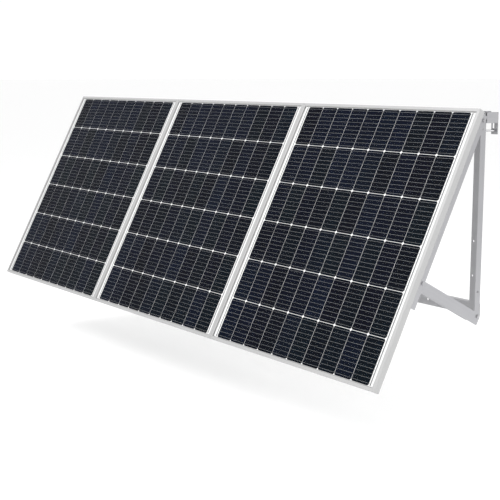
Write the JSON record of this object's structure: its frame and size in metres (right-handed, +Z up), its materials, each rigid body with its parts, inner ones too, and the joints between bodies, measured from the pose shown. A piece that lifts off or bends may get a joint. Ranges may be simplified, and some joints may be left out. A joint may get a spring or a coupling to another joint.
{
  "type": "solar panel bank with hook-on stand",
  "caption": "Row of framed monocrystalline solar modules leaning on folding aluminium brackets that hook and clamp over a balcony railing.",
  "frame": {"origin": "middle of the railing seat under the right-hand end bracket's hook", "axes": "+X along the row of modules towards the right-hand end seen from the front, +Y back towards the railing, +Z up"},
  "size_m": [3.0366, 0.6644, 1.0153],
  "materials": {
    "glass": "clear toughened solar glass with a slight gloss",
    "cell": "near-black silicon cells under encapsulant",
    "backsheet": "white laminated film",
    "frame": "clear anodised, fine satin grain",
    "box": "black moulded plastic",
    "rail": "mill finish, drawn grain",
    "leg": "mill finish, drawn grain",
    "arm": "mill finish, drawn grain",
    "hook": "mill finish",
    "claw": "mill finish",
    "bolt": "stainless"
  },
  "bodies": {
    "stand": {"cross_rail": "rail", "left_end_leg": "leg", "left_end_hook_bracket": "hook", "left_end_hinge_bolt": "bolt", "left_end_arm_bolt": "bolt", "left_end_clamp_rod": "bolt", "seam_1_leg": "leg", "seam_1_hook_bracket": "hook", "seam_1_hinge_bolt": "bolt", "seam_1_arm_bolt": "bolt", "seam_1_clamp_rod": "bolt", "seam_2_leg": "leg", "seam_2_hook_bracket": "hook", "seam_2_hinge_bolt": "bolt", "seam_2_arm_bolt": "bolt", "seam_2_clamp_rod": "bolt", "right_end_leg": "leg", "right_end_hook_bracket": "hook", "right_end_hinge_bolt": "bolt", "right_end_arm_bolt": "bolt", "right_end_clamp_rod": "bolt"},
    "bank": {"module_1_glass": "glass", "module_1_cells": "cell", "module_1_backsheet": "backsheet", "module_1_frame_top": "frame", "module_1_frame_bottom": "frame", "module_1_frame_left": "frame", "module_1_frame_right": "frame", "module_1_junction_box": "box", "module_2_glass": "glass", "module_2_cells": "cell", "module_2_backsheet": "backsheet", "module_2_frame_top": "frame", "module_2_frame_bottom": "frame", "module_2_frame_left": "frame", "module_2_frame_right": "frame", "module_2_junction_box": "box", "module_3_glass": "glass", "module_3_cells": "cell", "module_3_backsheet": "backsheet", "module_3_frame_top": "frame", "module_3_frame_bottom": "frame", "module_3_frame_left": "frame", "module_3_frame_right": "frame", "module_3_junction_box": "box", "left_end_rail": "rail", "seam_1_rail": "rail", "seam_2_rail": "rail", "right_end_rail": "rail"},
    "left_end_arm": {"left_end_arm": "arm"},
    "seam_1_arm": {"seam_1_arm": "arm"},
    "seam_2_arm": {"seam_2_arm": "arm"},
    "right_end_arm": {"right_end_arm": "arm"},
    "left_end_claw": {"left_end_hook_claw": "claw"},
    "seam_1_claw": {"seam_1_hook_claw": "claw"},
    "seam_2_claw": {"seam_2_hook_claw": "claw"},
    "right_end_claw": {"right_end_hook_claw": "claw"}
  },
  "joints": [
    {"name": "tilt", "type": "hinge", "parent": "stand", "child": "bank", "pos_m": [0, -0.0505, 0.01], "axis": [1, 0, 0], "range_deg": [-22, 0]},
    {"name": "arm_fold_right_end", "type": "hinge", "parent": "stand", "child": "right_end_arm", "pos_m": [0, -0.0435, -0.74688], "axis": [1, 0, 0], "range_deg": [-62, 0]},
    {"name": "arm_fold_left_end", "type": "hinge", "parent": "stand", "child": "left_end_arm", "pos_m": [-2.978, -0.0435, -0.74688], "axis": [1, 0, 0], "range_deg": [-62, 0]},
    {"name": "arm_fold_seam_1", "type": "hinge", "parent": "stand", "child": "seam_1_arm", "pos_m": [-2.018, -0.0435, -0.74688], "axis": [1, 0, 0], "range_deg": [-62, 0]},
    {"name": "arm_fold_seam_2", "type": "hinge", "parent": "stand", "child": "seam_2_arm", "pos_m": [-1.009, -0.0435, -0.74688], "axis": [1, 0, 0], "range_deg": [-62, 0]},
    {"name": "claw_slide_right_end", "type": "slide", "parent": "stand", "child": "right_end_claw", "axis": [0, 1, 0], "range_m": [-0.006, 0.01]},
    {"name": "claw_slide_left_end", "type": "slide", "parent": "stand", "child": "left_end_claw", "axis": [0, 1, 0], "range_m": [-0.006, 0.01]},
    {"name": "claw_slide_seam_1", "type": "slide", "parent": "stand", "child": "seam_1_claw", "axis": [0, 1, 0], "range_m": [-0.006, 0.01]},
    {"name": "claw_slide_seam_2", "type": "slide", "parent": "stand", "child": "seam_2_claw", "axis": [0, 1, 0], "range_m": [-0.006, 0.01]}
  ],
  "couplings": [
    {"joint": "arm_fold_left_end", "follows": "arm_fold_right_end", "ratio": 1},
    {"joint": "claw_slide_left_end", "follows": "claw_slide_right_end", "ratio": 1},
    {"joint": "arm_fold_seam_1", "follows": "arm_fold_right_end", "ratio": 1},
    {"joint": "claw_slide_seam_1", "follows": "claw_slide_right_end", "ratio": 1},
    {"joint": "arm_fold_seam_2", "follows": "arm_fold_right_end", "ratio": 1},
    {"joint": "claw_slide_seam_2", "follows": "claw_slide_right_end", "ratio": 1}
  ]
}
